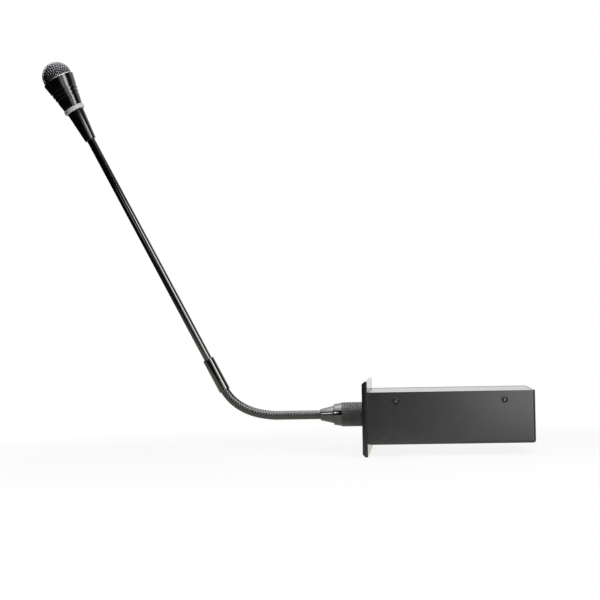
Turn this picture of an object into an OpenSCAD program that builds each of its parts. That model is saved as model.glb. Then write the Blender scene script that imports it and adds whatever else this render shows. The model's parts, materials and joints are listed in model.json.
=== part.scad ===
// Flush-mount conference delegate unit with a plug-in gooseneck microphone.
// Millimetres, +Z up. The front panel faces -X and the chassis runs back along +X.
// The origin is the centre of the panel's back face, which seats on the furniture.

/* [Chassis] */
// Length of the chassis behind the panel's seat
box_l = 127; // [115:1:150]
// Width of the chassis, along Y
box_w = 130; // [130:1:150]
// Height of the chassis, along Z
box_h = 40; // [40:1:50]
// Thickness of the folded sheet
sheet_t = 1.2; // [0.8:0.1:1.4]
// Outer radius of the folded edges
bend_r = 2.4; // [1.6:0.1:3]
// How far the cover lies below the top edges of the sides
cover_drop = 0.2; // [0.2:0.1:1]
// Depth of the cover's down-turned flanges
cover_flange = 12; // [10:0.5:13]
// Distance from the panel's seat to the front cover screws
screw_front = 21.5; // [15:0.5:30]
// Distance from the rear end to the rear cover screws
screw_rear = 23; // [15:0.5:30]
// Distance from the side's top edge down to the cover screws
screw_drop = 6.9; // [6:0.1:8]
// Width of the tray's front flanges, which the chassis screws pass
front_flange = 8; // [7:0.5:8.5]
// Width of the shadow gap between the panel and the chassis
seam_w = 1; // [0.4:0.1:1.5]

/* [Front panel] */
// How far the panel overhangs the chassis on each side
panel_lip_w = 12.5; // [11:0.5:16]
// How far the panel overhangs the chassis at the top and bottom
panel_lip_h = 8.5; // [8:0.5:12]
// Thickness of the panel
panel_t = 4; // [3.8:0.1:6]
// Bevel round the panel's front edge
panel_bevel = 2; // [0.5:0.1:2.6]
// Depth of the pocket in the back that locates the chassis
pocket_depth = 0.5; // [0.3:0.1:0.7]
// Distance from the panel's edges to the fixing holes
fix_edge = 6; // [5.5:0.1:6.4]
// Diameter of the fixing holes
fix_d = 3.6; // [3:0.1:4]
// Diameter of the fixing holes' countersinks
fix_sink_d = 7; // [5.5:0.1:7.5]

/* [Microphone connector] */
// Distance from the chassis' near wall to the microphone
mic_y = 93.8; // [91.8:0.1:97.8]
// Diameter of the coupling nut
nut_d = 19.6; // [18.6:0.1:22]
// Length of the coupling nut's knurl
knurl_l = 19.4; // [18:0.1:24]
// Length of the smooth taper on the coupling nut
taper_l = 6.4; // [4:0.1:10]
// Diameter at the small end of the coupling nut's taper
taper_d = 16.9; // [16.6:0.1:17.6]
// Number of ridges round the knurl
knurl_count = 48; // [32:1:64]
// Height of the knurl's ridges
knurl_h = 0.35; // [0.2:0.05:0.5]
// Diameter of the socket's thread
socket_d = 16; // [15.8:0.1:16.2]
// How far the socket stands out of the panel
socket_reach = 11; // [10:0.5:12]
// Length of the ferrule's cone
ferrule_l = 11; // [10:0.1:18]
// Diameter at the ferrule's wide end
ferrule_d = 14.4; // [13.6:0.1:14.5]

/* [Neck] */
// Outside diameter of the wound neck
neck_d = 7.1; // [6.8:0.1:7.2]
// Bore of the wound neck
neck_bore = 2.8; // [2.4:0.1:3]
// Pitch of the winding
wind_pitch = 2.26; // [1.8:0.02:3]
// Depth of the grooves between the turns
wind_depth = 0.45; // [0.2:0.05:0.6]
// Length of each link of the stretch that swings sideways
swing_link = 8; // [6:0.1:8.4]
// Straight length from the ferrule to where the neck starts to curve
straight_l = 28.5; // [28:0.5:36]
// Length of the curved stretch
curve_l = 57.6; // [54:0.1:75]
// Angle that the neck turns through
neck_angle = 62.7; // [40:0.1:75]
// How quickly the curve tightens towards the stem, 1 for an even curve
curve_power = 1.57; // [1:0.01:1.8]
// Gap between two links of the neck
link_gap = 1; // [0.95:0.05:1.4]

/* [Stem] */
// Length of the sleeve above the neck
sleeve_l = 29.7; // [24:0.1:40]
// Diameter of the sleeve
sleeve_d = 9.1; // [8.4:0.1:10]
// Diameter of the stem tube
tube_d = 6.5; // [6:0.1:7]
// Length of the stem tube that shows
tube_l = 203.5; // [100:0.1:300]
// Wall of the stem tube
tube_wall = 1; // [0.6:0.1:1.2]
// Diameter of the microphone's lead
lead_d = 2.2; // [1.8:0.1:2.4]

/* [Microphone head] */
// Length of the boot below the light ring
boot_l = 26.6; // [22:0.1:34]
// Diameter at the boot's narrow end
boot_low_d = 9.1; // [8.4:0.1:10]
// Diameter at the boot's wide end
boot_top_d = 13.9; // [13.6:0.1:15]
// Height of the light ring
ring_h = 3.6; // [3.2:0.1:5]
// Diameter of the light ring
ring_d = 17.3; // [17:0.1:19]
// Length of the head's body
head_l = 26.3; // [25:0.1:34]
// Diameter at the body's narrow end
head_low_d = 15.9; // [15.4:0.1:17]
// Diameter at the body's rim
head_rim_d = 26.2; // [25.2:0.1:28]
// Wall of the head's body
head_wall = 1.6; // [1.2:0.1:1.8]
// Distance from the rim down to the first groove's middle
groove_first = 10.4; // [8:0.1:11]
// Distance from groove to groove
groove_step = 3.4; // [2.5:0.05:4]
// Width of each groove
groove_w = 1.4; // [0.8:0.1:1.8]
// Depth of each groove
groove_depth = 0.7; // [0.3:0.1:0.9]
// Radius of the grille's ball
ball_r = 12.05; // [11.9:0.05:12.4]
// How far the rim lies below the middle of the ball
rim_drop = 2.9; // [0.5:0.02:3]
// Wall of the grille
grille_wall = 0.8; // [0.6:0.1:1]
// Thickness of the foam liner
foam_t = 2.6; // [1.5:0.1:3]

/* [Talk key] */
// Distance from the chassis' near wall to the talk key
key_y = 61.8; // [60.8:0.1:63.8]
// Diameter of the talk key
key_d = 16; // [14:0.5:17]
// How far the key stands out of the panel
key_proud = 0.4; // [0.2:0.1:1]
// How far the key travels
key_travel = 1; // [0.5:0.1:1.2]
// Width of the light ring round the key
key_ring_w = 1.5; // [1:0.1:2]

/* [Loudspeaker] */
// Width of the loudspeaker's frame, along Y
speaker_w = 36; // [32:0.5:37]
// Depth of the loudspeaker behind its flange
speaker_depth = 15; // [12:0.5:20]
// Diameter of the sound holes in the panel
sound_hole_d = 2.2; // [1.5:0.1:3]
// Distance between the rings of sound holes
sound_ring_step = 4.2; // [3.6:0.1:4.4]

/* [Boards and jacks] */
// Length of the main board, along X
board_l = 90; // [80:1:100]
// Width of the main board, along Y
board_w = 100; // [90:1:112]
// Thickness of the circuit boards
board_t = 1.6; // [1:0.1:2]
// Height of the main board above the chassis floor
spacer_h = 5; // [3:0.5:7]
// Width of the key board, along Y
key_board_w = 30; // [28:0.5:32]
// Height of the key board, along Z
key_board_h = 32; // [28:0.5:35]
// Length of the posts that carry the key board
post_h = 6.5; // [6:0.1:9]
// Distance between the two line jacks
jack_pitch = 24; // [20:1:40]
// Width of a line jack
jack_w = 16; // [15:0.5:18]
// Height of a line jack
jack_h = 13.4; // [12:0.1:15]
// Length of a line jack
jack_l = 18; // [16:0.5:22]
// Width of a line jack's mouth
mouth_w = 11.8; // [10:0.1:12.4]
// Height of a line jack's mouth
mouth_h = 8.4; // [8:0.1:9]
// Depth of a line jack's mouth
mouth_depth = 13; // [11:0.5:14]

/* [Hidden] */
$fn = 64;

// Clearances: a close fit, a running fit, and the room round a plugged-in piece
close = 0.05;
running = 0.1;
loose = 0.2;
// How far a cut runs past the faces that it goes through
past = 1;

// Screws: M3 in the chassis, M2.5 inside
screw_d = 3;
head_d = 4.8;
head_h = 1.3;
small_d = 2.5;
small_head_d = 4;
small_head_h = 1.4;
recess_w = 0.7;
screw_bite = 2.2;

// Panel and chassis planes
panel_w = box_w + 2 * panel_lip_w;
panel_h = box_h + 2 * panel_lip_h;
front_x = -panel_t;
pocket_x = -pocket_depth;
floor_z = -box_h / 2 + sheet_t;
wall_y = box_w / 2 - sheet_t;
mic_line = mic_y - wall_y;
key_line = key_y - wall_y;
rear_x = box_l - sheet_t;
cover_z = box_h / 2 - cover_drop;
cover_screw_z = box_h / 2 - screw_drop;
cover_screw_x = [screw_front, box_l - screw_rear];
cover_screw_grip = 5;
cover_front_gap = 4;
flange_top_gap = 2;
chassis_screw_y = wall_y - front_flange / 2;
chassis_screw_z = box_h / 4;
fix_y = panel_w / 2 - fix_edge;
fix_z = panel_h / 2 - fix_edge;
fix_sink_depth = (fix_sink_d - fix_d) / 2;

// Microphone socket and plug, as places along X
socket_tip = front_x - socket_reach;
socket_wall = 1.05;
socket_bore_d = socket_d - 2 * socket_wall;
socket_flange_d = 25;
socket_tail = 9;
socket_lip = 2;
socket_lip_w = 1.4;
socket_screw_r = 10.3;
socket_screw_count = 3;
insert_sink = 2;
insert_face = front_x + insert_sink;
contact_count = 5;
contact_ring = 3.6;
contact_d = 2.2;
pin_d = 1.1;
pin_reach = 6.5;
pin_tail = 2;
contact_tail = 3;
plug_d = socket_bore_d - 2 * running;
plug_face = insert_face - loose;
plug_bore_d = 10.8;
plug_flange_inset = 0.25;
plug_flange_d = socket_d - 2 * plug_flange_inset;
plug_flange_t = 1.9;
plug_insert_l = 10;
plug_flange_x = socket_tip - loose;
washer_t = 1.1;
washer_x = plug_flange_x - plug_flange_t - running;
nut_shoulder = washer_x - washer_t - running;
nut_front = front_x - close;
nut_waist = nut_front - knurl_l;
nut_end = nut_waist - taper_l;
nut_bore_d = socket_d + 2 * running;
nut_lip_d = ferrule_d + 2 * loose;
barrel_d = 13.2;
spigot_d = 9.6;
spigot_l = 3.2;
spigot_wall = 1.6;
spigot_taper = 2;
ferrule_x = nut_end;
ferrule_end = ferrule_x - ferrule_l;

// Neck: links 1 to 5 lie level and swing about Z, the later hinges bend about Y
swing_count = 4;
bend_count = 8;
link_count = swing_count + bend_count;
bend_step = neck_angle / bend_count;
liner_d = 4;
liner_reach = 1.1;
liner_bore = neck_bore;
link_socket_d = 5.2;
link_socket_depth = 2.4;
link_root = ferrule_l - spigot_l - 2 * loose;

function bend_place(j) = straight_l + curve_l * pow((j - 0.5) / bend_count, 1 / curve_power);
function hinge_place(i) = i == 0 ? 0 : i <= swing_count ? i * swing_link : bend_place(i - swing_count);
function link_length(i) = hinge_place(i) - hinge_place(i - 1);
function link_angle(i) = max(0, i - swing_count - 1) * bend_step;
function along(angle) = [-cos(angle), 0, sin(angle)];
function hinge_point(i) =
    i == 0 ? [ferrule_end, mic_line, 0] : hinge_point(i - 1) + link_length(i) * along(link_angle(i));
function turns(length) = max(1, round(length / wind_pitch));

// Stem and head, as heights along the stem from its hinge
tube_grip = 16;
boot_grip = 12;
sleeve_top = sleeve_l;
boot_z = sleeve_top + tube_l;
ring_z = boot_z + boot_l;
head_z = ring_z + ring_h;
rim_z = head_z + head_l;
ball_z = rim_z + rim_drop;
neck_spigot_d = 10.4;
neck_spigot_l = 6;
boot_bore_d = 5;
ring_seat_d = 12.6;
ring_board_t = 0.8;
lamp_h = 0.7;
lamp_count = 6;
groove_count = 3;
head_floor = 4;
rim_r = sqrt(ball_r * ball_r - rim_drop * rim_drop);
collar_t = 0.8;
skirt_l = 3;
skirt_wall = 0.7;
capsule_d = 12;
capsule_l = 8;
capsule_drop = 3.6;
capsule_z = rim_z - capsule_drop - capsule_l;
mount_l = 8;
mount_drop = 4;

function head_r(z) = head_low_d / 2 + (head_rim_d - head_low_d) / 2 * (z - head_z) / head_l;
function head_bore(z) = head_r(z) - head_wall;

// Talk key and its board, as places along X
key_ring_flange = 1.5;
key_ring_flange_t = 0.8;
key_ring_back = pocket_x + key_ring_flange_t;
key_flange_t = 1;
key_flange_w = 0.9;
key_back = key_ring_back + running + key_flange_t;
key_stem_l = 0.8;
key_stem_d = 4.4;
board_x = pocket_x + post_h;
switch_w = 7;
switch_h = board_x - key_back - key_stem_l - key_travel - loose;
plunger_d = 3.2;
plunger_l = 2.4;
post_d = 5;
post_inset = 3;
key_post_y = key_board_w / 2 - post_inset;
key_post_z = key_board_h / 2 - post_inset;
lamp_r = 8;

// Loudspeaker, beside the tray's front flange, as depths behind the panel's pocket
speaker_side_gap = 0.8;
speaker_y = front_flange + speaker_side_gap + speaker_w / 2 - wall_y;
gasket_t = 0.8;
gasket_inset = 1;
speaker_plate_t = 1.2;
panel_flange_t = gasket_t + speaker_plate_t;
speaker_x = pocket_x + gasket_t;
speaker_mouth_d = 29;
basket_wall = 1;
basket_back_d = 20;
basket_l = 7;
cone_t = 0.5;
cone_throat_d = 9;
cone_rim = 2;
cone_cap = 1.5;
throat_gap = 1;
magnet_d = 24;
speaker_screw_inset = 3;
speaker_top_gap = 0.3;
speaker_half_h = cover_z - sheet_t - speaker_top_gap;
speaker_screw_y = speaker_w / 2 - speaker_screw_inset;
speaker_screw_z = speaker_half_h - speaker_screw_inset;
sound_rings = 3;

// Main board
board_gap = 0.6;
board_front = rear_x - board_gap - board_l;
board_side = 13.8;
board_y = board_side + board_w / 2 - wall_y;
board_top = floor_z + spacer_h + board_t;
spacer_d = 5.6;
spacer_floor = 1;
board_hole_inset = 5;
header_w = 12;
header_l = 6;
header_h = 4.6;
key_header_l = 4;
lead_t = 0.9;
key_lead_w = 10;
socket_lead_w = 8;
speaker_lead_w = 4;
lead_steps = 16;
header_inset = 8;
header_x = board_front + header_inset;
lead_end_z = board_top + header_h / 2;
jack_wall = 2;
jack_contact_count = 8;
jack_contact_pitch = 1.02;
jack_contact_w = 0.5;
jack_contact_h = 1;
jack_contact_back = 3;

panel_black = [0.10, 0.10, 0.11];
sheet_grey = [0.25, 0.25, 0.26];
gloss_black = [0.06, 0.06, 0.07];
nut_grey = [0.30, 0.30, 0.31];
screw_black = [0.08, 0.08, 0.08];
board_green = [0.10, 0.35, 0.18];
lamp_white = [0.93, 0.92, 0.88];
steel = [0.70, 0.70, 0.72];
brass = [0.80, 0.65, 0.30];
plastic_black = [0.13, 0.13, 0.13];
paper_grey = [0.28, 0.27, 0.26];
foam_grey = [0.20, 0.20, 0.20];

// Shared shapes

// Solid turned about the X axis from points of place along X and radius
module lathe_x(points) {
    rotate([0, 90, 0])
        rotate_extrude()
            polygon([for (p = points) [p[1], p[0]]]);
}

// Solid turned about the Z axis from points of radius and height
module lathe_z(points) {
    rotate_extrude()
        polygon(points);
}

// Rod along X between two places
module rod_x(d, x0, x1) {
    translate([min(x0, x1), 0, 0])
        rotate([0, 90, 0])
            cylinder(d = d, h = abs(x1 - x0));
}

// Outline in Y and Z carried along X
module run_x(x0, x1) {
    translate([x0, 0, 0])
        rotate([90, 0, 90])
            linear_extrude(x1 - x0)
                children();
}

// Outline in X and Z carried along Y, centred
module run_y(width) {
    rotate([90, 0, 0])
        linear_extrude(width, center = true)
            children();
}

// What has to be cut away to round a corner at the origin, whose sides run along +X and +Y
module corner_waste(r) {
    difference() {
        translate([-past, -past])
            square(r + past);
        translate([r, r])
            circle(r);
    }
}

// Tray outline seen from the front, with its two lower corners rounded
module tray_front(half_w, low, high, r) {
    difference() {
        translate([-half_w, low])
            square([2 * half_w, high - low]);
        for (side = [0, 1])
            mirror([side, 0])
                translate([-half_w, low])
                    corner_waste(r);
    }
}

// Tray outline seen from above, with its two rear corners rounded
module tray_plan(x0, x1, half_w, r) {
    difference() {
        translate([x0, -half_w])
            square([x1 - x0, 2 * half_w]);
        for (side = [0, 1])
            mirror([0, side])
                translate([x1, -half_w])
                    mirror([1, 0])
                        corner_waste(r);
    }
}

// Tray outline seen from the side, with its lower rear corner rounded
module tray_side(x0, x1, low, high, r) {
    difference() {
        translate([x0, low])
            square([x1 - x0, high - low]);
        translate([x1, low])
            mirror([1, 0])
                corner_waste(r);
    }
}

// Block with its two lower edges, its rear edges and its lower rear edge rounded
module tray_block(x0, x1, half_w, low, high, r) {
    intersection() {
        run_x(x0, x1)
            tray_front(half_w, low, high, r);
        translate([0, 0, low])
            linear_extrude(high - low)
                tray_plan(x0, x1, half_w, r);
        run_y(2 * half_w)
            tray_side(x0, x1, low, high, r);
    }
}

// Screw along +X, its head's underside at the origin and its head on the -X side
module screw_x(d, grip, head, height) {
    difference() {
        union() {
            rod_x(d, -height / 2, grip);
            lathe_x([[0, 0], [0, head / 2], [-height / 2, head / 2], [-height, head / 3], [-height, 0]]);
        }
        for (turn = [0, 90])
            rotate([turn, 0, 0])
                translate([-height - past, -recess_w / 2, -head / 4])
                    cube([past + height / 2, recess_w, head / 2]);
    }
}

// Copies at the four corners of a rectangle in Y and Z
module corners_yz(y, z) {
    for (sy = [-1, 1], sz = [-1, 1])
        translate([0, sy * y, sz * z])
            children();
}

// Copies round the microphone's axis
module round_mic(count, r) {
    translate([0, mic_line, 0])
        for (i = [0:count - 1])
            rotate([i * 360 / count, 0, 0])
                translate([0, 0, r])
                    children();
}

// Children placed on the stem, whose Z axis runs up the stem from its hinge
module on_stem() {
    translate(hinge_point(link_count))
        rotate([0, neck_angle - 90, 0])
            children();
}

// Flat lead that leaves and arrives level and changes height in between
module flat_lead(y, width, x0, z0, x1, z1) {
    function rise(t) = t * t * (3 - 2 * t);
    upper = [for (i = [0:lead_steps]) [x0 + (x1 - x0) * i / lead_steps,
        z0 + (z1 - z0) * rise(i / lead_steps) + lead_t / 2]];
    lower = [for (i = [lead_steps:-1:0]) upper[i] - [0, lead_t]];
    translate([0, y, 0])
        run_y(width)
            polygon(concat(upper, lower));
}

// Chassis

module panel_blank() {
    half_w = panel_w / 2;
    half_h = panel_h / 2;
    intersection() {
        linear_extrude(panel_h, center = true)
            polygon([[0, -half_w], [0, half_w], [front_x + panel_bevel, half_w],
                [front_x, half_w - panel_bevel], [front_x, panel_bevel - half_w],
                [front_x + panel_bevel, -half_w]]);
        run_y(panel_w)
            polygon([[0, -half_h], [0, half_h], [front_x + panel_bevel, half_h],
                [front_x, half_h - panel_bevel], [front_x, panel_bevel - half_h],
                [front_x + panel_bevel, -half_h]]);
    }
}

module sound_holes() {
    translate([0, speaker_y, 0])
        for (ring = [0:sound_rings], i = [0:max(0, 6 * ring - 1)])
            rotate([ring == 0 ? 0 : i * 60 / ring, 0, 0])
                translate([0, 0, ring * sound_ring_step])
                    rod_x(sound_hole_d, front_x - past, past);
}

module front_panel() {
    color(panel_black)
        difference() {
            panel_blank();
            translate([pocket_x, -box_w / 2 - loose, -box_h / 2 - loose])
                cube([pocket_depth + past, box_w + 2 * loose, box_h + 2 * loose]);
            corners_yz(fix_y, fix_z) {
                rod_x(fix_d, front_x - past, past);
                lathe_x([[front_x - past, 0], [front_x - past, fix_sink_d / 2], [front_x, fix_sink_d / 2],
                    [front_x + fix_sink_depth, fix_d / 2], [front_x + fix_sink_depth, 0]]);
            }
            translate([0, mic_line, 0])
                rod_x(socket_d + 2 * close, front_x - past, past);
            translate([0, key_line, 0])
                rod_x(key_d + 2 * (running + key_ring_w + close), front_x - past, past);
            sound_holes();
            corners_yz(chassis_screw_y, chassis_screw_z)
                rod_x(screw_d + 2 * close, pocket_x - screw_bite - loose, past);
            at_panel_screws()
                rod_x(small_d + 2 * close, pocket_x - screw_bite - loose, past);
            at_key(0)
                corners_yz(key_post_y, key_post_z)
                    rod_x(small_d + 2 * close, pocket_x - screw_bite - loose, past);
        }
}

// Groove round the outside of the tray's sides and floor, next to the panel
module shadow_gap() {
    depth = sheet_t / 2;
    difference() {
        run_x(pocket_x - past, seam_w)
            tray_front(box_w / 2 + past, -box_h / 2 - past, box_h / 2 + past, bend_r);
        run_x(pocket_x - 2 * past, seam_w + past)
            tray_front(box_w / 2 - depth, depth - box_h / 2, box_h / 2 + 2 * past, bend_r - depth);
    }
}

module chassis_tray() {
    color(sheet_grey)
        difference() {
            union() {
                difference() {
                    tray_block(pocket_x, box_l, box_w / 2, -box_h / 2, box_h / 2, bend_r);
                    tray_block(pocket_x - past, rear_x, wall_y, floor_z, box_h / 2 + past, bend_r - sheet_t);
                }
                for (side = [-1, 1])
                    translate([pocket_x, side * (wall_y - front_flange / 2) - front_flange / 2, floor_z])
                        cube([sheet_t, front_flange, cover_z - sheet_t - flange_top_gap - floor_z]);
            }
            for (x = cover_screw_x)
                translate([x, 0, cover_screw_z])
                    rotate([90, 0, 0])
                        cylinder(d = screw_d + 2 * running, h = box_w + 2 * past, center = true);
            corners_yz(chassis_screw_y, chassis_screw_z)
                rod_x(screw_d + 2 * running, pocket_x - past, pocket_x + sheet_t + past);
            shadow_gap();
            for (side = [-1, 1])
                translate([rear_x - past, side * jack_pitch / 2 - jack_w / 2 - loose, board_top - loose])
                    cube([sheet_t + 2 * past, jack_w + 2 * loose, jack_h + 2 * loose]);
        }
}

module top_cover() {
    cover_half = wall_y - running;
    color(sheet_grey)
        difference() {
            union() {
                translate([0, 0, cover_z - sheet_t])
                    linear_extrude(sheet_t)
                        tray_plan(pocket_x + running, rear_x - running, cover_half, bend_r - sheet_t);
                for (side = [0, 1])
                    mirror([0, side, 0])
                        translate([cover_front_gap, cover_half - sheet_t, cover_z - cover_flange])
                            cube([rear_x - bend_r - cover_front_gap, sheet_t, cover_flange - sheet_t / 2]);
            }
            for (x = cover_screw_x)
                translate([x, 0, cover_screw_z])
                    rotate([90, 0, 0])
                        cylinder(d = screw_d + 2 * close, h = box_w, center = true);
        }
}

module cover_screws() {
    color(screw_black)
        for (x = cover_screw_x, side = [-1, 1])
            translate([x, side * box_w / 2, cover_screw_z])
                rotate([0, 0, -90 * side])
                    screw_x(screw_d, cover_screw_grip, head_d, head_h);
}

module chassis_screws() {
    color(screw_black)
        corners_yz(chassis_screw_y, chassis_screw_z)
            translate([pocket_x + sheet_t, 0, 0])
                rotate([0, 0, 180])
                    screw_x(screw_d, sheet_t + screw_bite, head_d, head_h);
}

// Main board and what stands on it

module at_board_holes() {
    for (x = [board_front + board_hole_inset, board_front + board_l - board_hole_inset], side = [-1, 1])
        translate([x, board_y + side * (board_w / 2 - board_hole_inset), 0])
            children();
}

module main_board() {
    color(board_green)
        difference() {
            translate([board_front, board_y - board_w / 2, board_top - board_t])
                cube([board_l, board_w, board_t]);
            at_board_holes()
                translate([0, 0, board_top - board_t - past])
                    cylinder(d = small_d + 2 * running, h = board_t + 2 * past);
        }
}

module board_spacers() {
    color(steel)
        at_board_holes()
            translate([0, 0, floor_z])
                difference() {
                    cylinder(d = spacer_d, h = spacer_h);
                    translate([0, 0, spacer_floor])
                        cylinder(d = small_d + 2 * close, h = spacer_h);
                }
}

module board_screws() {
    color(steel)
        at_board_holes()
            translate([0, 0, board_top])
                rotate([0, 90, 0])
                    screw_x(small_d, board_t + spacer_h / 2, small_head_d, small_head_h);
}

module board_parts() {
    chip_w = 14;
    chip_t = 1.6;
    can_d = 8;
    can_h = 12;
    can_pitch = 12;
    coil_w = 16;
    coil_h = 11;
    middle = board_front + board_l / 2;
    color(plastic_black)
        translate([middle, board_y, board_top]) {
            for (side = [-1, 1])
                translate([-chip_w / 2, side * chip_w - chip_w / 2, 0])
                    cube([chip_w, chip_w, chip_t]);
            translate([-coil_w / 2, board_w / 4 + coil_w / 4, 0])
                cube([coil_w, coil_w, coil_h]);
            for (i = [-1:1])
                translate([i * can_pitch, -board_w / 4 - can_d, 0])
                    cylinder(d = can_d, h = can_h);
        }
}

module board_headers() {
    color(lamp_white) {
        for (y = [key_line, mic_line, speaker_y])
            translate([header_x, y - header_w / 2, board_top])
                cube([header_l, header_w, header_h]);
        translate([board_x + board_t, key_line - header_w / 2, -header_h / 2])
            cube([key_header_l, header_w, header_h]);
    }
}

module key_lead() {
    color("dimgray")
        flat_lead(key_line, key_lead_w, board_x + board_t + key_header_l, 0, header_x, lead_end_z);
}

module socket_lead() {
    color("dimgray")
        flat_lead(mic_line, socket_lead_w, pocket_x + socket_tail + contact_tail, 0, header_x, lead_end_z);
}

module speaker_lead() {
    color("dimgray")
        flat_lead(speaker_y, speaker_lead_w, speaker_x + speaker_depth, 0, header_x, lead_end_z);
}

module line_jacks() {
    color(plastic_black)
        for (side = [-1, 1])
            translate([box_l - jack_l, side * jack_pitch / 2, board_top])
                difference() {
                    translate([0, -jack_w / 2, 0])
                        cube([jack_l, jack_w, jack_h]);
                    translate([jack_l - mouth_depth, -mouth_w / 2, jack_wall])
                        cube([mouth_depth + past, mouth_w, mouth_h]);
                }
}

module jack_contacts() {
    row = (jack_contact_count - 1) * jack_contact_pitch;
    color(brass)
        for (side = [-1, 1], i = [0:jack_contact_count - 1])
            translate([box_l - mouth_depth, side * jack_pitch / 2 - row / 2 + i * jack_contact_pitch,
                board_top + jack_wall + mouth_h - jack_contact_h])
                translate([0, -jack_contact_w / 2, 0])
                    cube([mouth_depth - jack_contact_back, jack_contact_w, jack_contact_h]);
}

// Loudspeaker behind the panel

module at_speaker(x) {
    translate([x, speaker_y, 0])
        children();
}

module speaker_gasket() {
    mouth = speaker_mouth_d / 2;
    edge = min(speaker_w / 2, speaker_half_h) - gasket_inset;
    color(foam_grey)
        at_speaker(pocket_x)
            lathe_x([[0, mouth], [0, edge], [gasket_t, edge], [gasket_t, mouth]]);
}

module speaker_frame() {
    mouth = speaker_mouth_d / 2;
    back = basket_back_d / 2;
    color(steel)
        at_speaker(speaker_x)
            difference() {
                union() {
                    translate([0, -speaker_w / 2, -speaker_half_h])
                        cube([speaker_plate_t, speaker_w, 2 * speaker_half_h]);
                    lathe_x([[0, 0], [0, mouth + basket_wall], [speaker_plate_t, mouth + basket_wall],
                        [basket_l, back + basket_wall], [basket_l + basket_wall, back + basket_wall],
                        [basket_l + basket_wall, 0]]);
                }
                lathe_x([[-past, 0], [-past, mouth], [speaker_plate_t, mouth], [basket_l, back],
                    [basket_l, 0]]);
                rod_x(cone_throat_d + 2 * throat_gap, basket_l - past, basket_l + basket_wall + past);
                corners_yz(speaker_screw_y, speaker_screw_z)
                    rod_x(small_d + 2 * running, -past, speaker_plate_t + past);
            }
}

module speaker_cone() {
    mouth = speaker_mouth_d / 2 - close;
    throat = cone_throat_d / 2;
    cap = basket_l + basket_wall / 2;
    color(paper_grey)
        at_speaker(speaker_x)
            lathe_x([[0, mouth - cone_rim], [0, mouth], [cone_t, mouth], [cap - cone_cap, throat],
                [cap, throat], [cap, 0], [cap - cone_cap, 0], [cap - cone_cap - cone_t, throat - cone_t]]);
}

module speaker_magnet() {
    color(steel)
        at_speaker(speaker_x + basket_l + basket_wall)
            rod_x(magnet_d, 0, speaker_depth - basket_l - basket_wall);
}

// Places of the screws that hold the loudspeaker and the socket to the panel
module at_panel_screws() {
    at_speaker(0)
        corners_yz(speaker_screw_y, speaker_screw_z)
            children();
    round_mic(socket_screw_count, socket_screw_r)
        children();
}

module panel_screws() {
    color(screw_black)
        at_panel_screws()
            translate([pocket_x + panel_flange_t, 0, 0])
                rotate([0, 0, 180])
                    screw_x(small_d, panel_flange_t + screw_bite, small_head_d, small_head_h);
}

// Talk key and its board

module at_key(x) {
    translate([x, key_line, 0])
        children();
}

module key_ring() {
    bore = key_d / 2 + running;
    rim = bore + key_ring_w;
    color(lamp_white)
        at_key(0)
            lathe_x([[front_x, bore], [front_x, rim], [pocket_x, rim], [pocket_x, rim + key_ring_flange],
                [key_ring_back, rim + key_ring_flange], [key_ring_back, bore]]);
}

module talk_key() {
    edge = 0.6;
    dish = 0.3;
    face = front_x - key_proud;
    r = key_d / 2;
    color(plastic_black)
        at_key(0)
            lathe_x([[face + dish, 0], [face, r - 2 * edge], [face, r - edge], [face + edge, r],
                [key_back - key_flange_t, r], [key_back - key_flange_t, r + key_flange_w],
                [key_back, r + key_flange_w], [key_back, key_stem_d / 2],
                [key_back + key_stem_l, key_stem_d / 2], [key_back + key_stem_l, 0]]);
}

module key_plunger() {
    color("white")
        at_key(key_back + key_stem_l)
            rod_x(plunger_d, 0, plunger_l);
}

module key_switch() {
    color(plastic_black)
        at_key(board_x - switch_h)
            difference() {
                translate([0, -switch_w / 2, -switch_w / 2])
                    cube([switch_h, switch_w, switch_w]);
                rod_x(plunger_d + 2 * running, -past, switch_h - loose);
            }
}

module key_board() {
    color(board_green)
        at_key(board_x)
            difference() {
                translate([0, -key_board_w / 2, -key_board_h / 2])
                    cube([board_t, key_board_w, key_board_h]);
                corners_yz(key_post_y, key_post_z)
                    rod_x(small_d + 2 * running, -past, board_t + past);
            }
}

module key_posts() {
    color(steel)
        at_key(pocket_x)
            corners_yz(key_post_y, key_post_z)
                difference() {
                    rod_x(post_d, 0, post_h);
                    rod_x(small_d + 2 * close, -past, post_h + past);
                }
}

module key_screws() {
    color(steel)
        at_key(board_x + board_t)
            corners_yz(key_post_y, key_post_z)
                rotate([0, 0, 180])
                    screw_x(small_d, board_t + post_h + screw_bite, small_head_d, small_head_h);
}

module key_lamps() {
    lamp_w = 1.6;
    color(lamp_white)
        at_key(board_x - lamp_h)
            for (i = [0:3])
                rotate([i * 90, 0, 0])
                    translate([0, -lamp_w / 2, lamp_r - lamp_w / 2])
                        cube([lamp_h, lamp_w, lamp_w]);
}

// Microphone socket in the panel

module mic_socket() {
    thread = socket_d / 2;
    bore = socket_bore_d / 2;
    flange = socket_flange_d / 2;
    back = pocket_x + socket_tail;
    lip = bore - socket_lip_w;
    edge = 0.5;
    color(steel)
        difference() {
            translate([0, mic_line, 0])
                lathe_x([[socket_tip, bore], [socket_tip, thread - edge], [socket_tip + edge, thread],
                    [pocket_x, thread], [pocket_x, flange], [pocket_x + panel_flange_t, flange],
                    [pocket_x + panel_flange_t, thread], [back, thread], [back, lip],
                    [back - socket_lip, lip], [back - socket_lip, bore]]);
            round_mic(socket_screw_count, socket_screw_r)
                rod_x(small_d + 2 * running, pocket_x - past, pocket_x + panel_flange_t + past);
        }
}

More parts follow.
